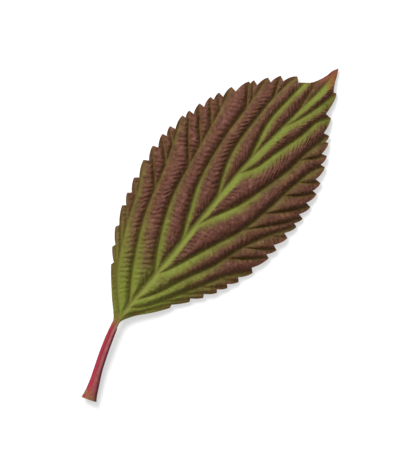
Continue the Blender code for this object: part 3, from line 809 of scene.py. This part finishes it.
# ---- the material
class Nodes:
    """Short ways to add shader nodes to a material."""

    def __init__(self, name):
        self.material = bpy.data.materials.new(name)
        self.material.use_nodes = True
        self.tree = self.material.node_tree
        self.shader = self.tree.nodes["Principled BSDF"]
        self.place = self.tree.nodes.new("ShaderNodeTexCoord").outputs["Object"]

    def link(self, value, socket):
        if isinstance(value, bpy.types.NodeSocket):
            self.tree.links.new(value, socket)
        elif hasattr(value, "__len__") and len(value) == 3:
            socket.default_value = (*value, 1.0)
        else:
            socket.default_value = value

    def attribute(self, name):
        node = self.tree.nodes.new("ShaderNodeAttribute")
        node.attribute_name = name
        return node.outputs["Fac"]

    def noise(self, size_mm, detail=3.0):
        node = self.tree.nodes.new("ShaderNodeTexNoise")
        self.tree.links.new(self.place, node.inputs["Vector"])
        node.inputs["Scale"].default_value = 1.0 / (size_mm * MM)
        node.inputs["Detail"].default_value = detail
        node.inputs["Roughness"].default_value = 0.55
        return node.outputs["Fac"]

    def cells(self, size_mm):
        node = self.tree.nodes.new("ShaderNodeTexVoronoi")
        node.feature = "DISTANCE_TO_EDGE"
        self.tree.links.new(self.place, node.inputs["Vector"])
        node.inputs["Scale"].default_value = 1.0 / (size_mm * MM)
        return node.outputs["Distance"]

    def from_middle(self):
        """The distance from the object's origin, in metres."""
        node = self.tree.nodes.new("ShaderNodeVectorMath")
        node.operation = "LENGTH"
        self.tree.links.new(self.place, node.inputs[0])
        return node.outputs["Value"]

    def math(self, operation, a, b=0.0, c=0.0):
        node = self.tree.nodes.new("ShaderNodeMath")
        node.operation = operation
        for value, socket in zip((a, b, c), node.inputs):
            self.link(value, socket)
        return node.outputs[0]

    def ramp(self, value, low, high, to_low=0.0, to_high=1.0):
        node = self.tree.nodes.new("ShaderNodeMapRange")
        node.interpolation_type = "SMOOTHSTEP"
        for item, socket in zip((value, low, high, to_low, to_high), node.inputs):
            self.link(item, socket)
        return node.outputs[0]

    def mix(self, factor, a, b):
        node = self.tree.nodes.new("ShaderNodeMix")
        node.data_type = "RGBA"
        self.link(factor, node.inputs["Factor"])
        self.link(a, node.inputs[6])
        self.link(b, node.inputs[7])
        return node.outputs[2]

    def bump(self, height, distance_mm, strength, normal=None):
        node = self.tree.nodes.new("ShaderNodeBump")
        node.inputs["Strength"].default_value = strength
        node.inputs["Distance"].default_value = distance_mm * MM
        self.link(height, node.inputs["Height"])
        if normal is not None:
            self.tree.links.new(normal, node.inputs["Normal"])
        return node.outputs["Normal"]


def linear(red, green, blue):
    """A colour given as screen values from 0 to 255, as the shader's linear values."""
    return tuple(((value / 255 + 0.055) / 1.055) ** 2.4 for value in (red, green, blue))


def between(n, factor, pair):
    return n.mix(factor, linear(*pair[0]), linear(*pair[1]))


def upper_colour(n, amount, patch, grain):
    """The blade's upper side: burgundy where the amount of green is low, green where it is high."""
    wine = between(n, n.ramp(patch, 0.35, 0.7), WINE)
    wine = n.mix(n.ramp(grain, 0.45, 0.75, 0.0, 0.6), wine, linear(*WINE_GRAIN))
    wine = n.mix(n.ramp(n.attribute("crest"), 0.5, 1.0, 0.0, 0.45), wine, linear(*WINE_CREST))
    # painted sheen: pinkish highlight flecks scattered by noise
    wine = n.mix(n.ramp(n.noise(1.1), 0.52, 0.72, 0.0, 0.5), wine, linear(*WINE_PAINTED_SHEEN))
    leafy = between(n, n.ramp(n.noise(9.0), 0.3, 0.7), LEAFY)
    leafy = n.mix(n.ramp(grain, 0.3, 0.8, 0.0, 0.35), leafy, linear(*LEAFY_GRAIN))
    colour = n.mix(n.ramp(amount, 0.1, 1.0), wine, leafy)
    # painted shade: darkens the flank beside each vein, mostly on its left
    colour = n.mix(n.math("MULTIPLY", n.attribute("shade"), 0.5), colour, linear(*VALLEY_PAINTED_SHADE))
    # the vein's own olive, partly painted shade along the valley floor
    colour = n.mix(n.math("MULTIPLY", n.attribute("vein"), 0.3), colour, linear(*VEIN_LINE_AND_PAINTED_SHADE))
    colour = n.mix(n.attribute("band"), colour, linear(*MIDRIB_GREEN))
    colour = n.mix(n.attribute("tip"), colour, linear(*TIP_RED))
    rim = n.math("MULTIPLY", n.attribute("rim"), n.ramp(patch, 0.3, 0.6))
    return n.mix(n.math("MULTIPLY", rim, 0.5), colour, linear(*RIM_RED))


def under_colour(n, amount, patch):
    under = between(n, n.ramp(patch, 0.3, 0.7), UNDER)
    under = n.mix(n.math("MULTIPLY", n.ramp(amount, 0.75, 0.25), 0.45), under, linear(*UNDER_WINE))
    under = n.mix(n.math("MULTIPLY", n.attribute("vein"), 0.6), under, linear(*UNDER_VEIN))
    return n.mix(n.attribute("band"), under, linear(*UNDER_MIDRIB))


def stalk_colour(n, grain):
    """Crimson at its left, paler in its groove, darker at its right with painted shade, brown at its end."""
    side = n.attribute("across")
    stalk = between(n, n.ramp(side, -1.0, -0.6), STALK_LEFT)
    stalk = n.mix(n.ramp(side, -0.45, 0.15), stalk, linear(*STALK_GROOVE))
    # painted shade on the stalk's right side
    stalk = n.mix(n.ramp(side, 0.35, 0.9), stalk, linear(*STALK_RIGHT_PAINTED_SHADE))
    stalk = n.mix(n.ramp(grain, 0.4, 0.8, 0.0, 0.5), stalk, linear(*STALK_GRAIN))
    stalk = n.mix(n.ramp(n.noise(1.1), 0.5, 0.75, 0.0, 0.6), stalk, linear(*STALK_FLECK))
    end = n.math("MULTIPLY", n.attribute("end"), n.ramp(grain, 0.3, 0.6))
    return n.mix(end, stalk, linear(*STALK_END))


def leaf_material():
    n = Nodes("leaf_autumn_surface")
    patch, grain, speck = n.noise(2.4), n.noise(0.7), n.noise(0.18, 2.0)
    amount = n.math("ADD", n.attribute("green"), n.math("MULTIPLY_ADD", patch, 0.5, -0.25))
    amount = n.math("ADD", amount, n.math("MULTIPLY_ADD", grain, 0.4, -0.2))
    under = n.attribute("under")
    colour = n.mix(under, upper_colour(n, amount, patch, grain), under_colour(n, amount, patch))
    colour = n.mix(n.attribute("stalk"), colour, stalk_colour(n, grain))
    cut = between(n, n.ramp(grain, 0.35, 0.65), CUT_END)
    colour = n.mix(n.attribute("cut"), colour, cut)
    n.link(colour, n.shader.inputs["Base Color"])
    rough = n.math("MULTIPLY_ADD", grain, 0.25, 0.55)
    n.link(n.math("ADD", rough, n.math("MULTIPLY", under, 0.1)), n.shader.inputs["Roughness"])
    n.shader.inputs["Specular IOR Level"].default_value = 0.1
    net = n.ramp(n.cells(0.42), 0.0, 0.25)
    normal = n.bump(net, 0.03, 0.6)
    normal = n.bump(speck, 0.03, 0.5, normal)
    normal = n.bump(grain, 0.16, 0.6, normal)
    n.link(normal, n.shader.inputs["Normal"])
    return n.material


def floor_material():
    n = Nodes("pale_floor")
    low, high = FLOOR_TONES
    n.link(n.mix(n.noise(60.0), (low, low, low), (high, high, high)), n.shader.inputs["Base Color"])
    n.shader.inputs["Emission Color"].default_value = (1.0, 1.0, 1.0, 1.0)
    n.link(n.ramp(n.from_middle(), *FLOOR_GLOW_REACH, *FLOOR_GLOW), n.shader.inputs["Emission Strength"])
    n.shader.inputs["Roughness"].default_value = 0.9
    n.shader.inputs["Specular IOR Level"].default_value = 0.1
    return n.material


# ---- floor, light and camera
def build_floor():
    mesh = bpy.data.meshes.new("floor")
    bm = bmesh.new()
    bmesh.ops.create_grid(bm, x_segments=1, y_segments=1, size=FLOOR_HALF)
    bm.to_mesh(mesh)
    bm.free()
    floor = bpy.data.objects.new("floor", mesh)
    bpy.context.collection.objects.link(floor)
    floor.location.z = CAD_LOW.z - FLOOR_GAP
    mesh.materials.append(floor_material())


def add_area_light(name, direction, distance, size, energy):
    light = bpy.data.lights.new(name, "AREA")
    light.shape = "DISK"
    light.size = size
    light.energy = energy
    item = bpy.data.objects.new(name, light)
    bpy.context.collection.objects.link(item)
    away = Vector(direction).normalized()
    item.location = away * distance
    item.rotation_euler = away.to_track_quat("Z", "Y").to_euler()


def build_world():
    world = bpy.data.worlds.new("pale_studio")
    bpy.context.scene.world = world
    world.use_nodes = True
    background = world.node_tree.nodes["Background"]
    background.inputs["Color"].default_value = (1.0, 1.0, 1.0, 1.0)
    ray = world.node_tree.nodes.new("ShaderNodeLightPath")
    strength = world.node_tree.nodes.new("ShaderNodeMapRange")
    strength.inputs["To Min"].default_value = WORLD_STRENGTH
    strength.inputs["To Max"].default_value = WORLD_SEEN
    world.node_tree.links.new(ray.outputs["Is Camera Ray"], strength.inputs["Value"])
    world.node_tree.links.new(strength.outputs["Result"], background.inputs["Strength"])


def build_camera(centre):
    data = bpy.data.cameras.new("camera")
    camera = bpy.data.objects.new("camera", data)
    bpy.context.collection.objects.link(camera)
    data.sensor_fit = "VERTICAL"
    data.sensor_height = SENSOR_HEIGHT
    data.lens = SENSOR_HEIGHT * CAMERA_DISTANCE / VIEW_HEIGHT
    camera.location = (centre[0], centre[1], CAMERA_DISTANCE + MARGIN_VIEW_HEIGHT)
    camera.rotation_euler = (0.0, 0.0, math.radians(CAMERA_ROLL))
    bpy.context.scene.camera = camera


leaf, plan_origin = build_leaf()
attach(leaf, "root")
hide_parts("leaf")
build_floor()
build_world()
add_area_light("key", KEY_DIRECTION, KEY_DISTANCE, KEY_SIZE, KEY_ENERGY)
add_area_light("fill", FILL_DIRECTION, FILL_DISTANCE, FILL_SIZE, FILL_ENERGY)
build_camera((plan_origin[0] + VIEW_CENTRE[0] * MM, plan_origin[1] + VIEW_CENTRE[1] * MM))
bpy.context.scene.view_settings.view_transform = "Standard"
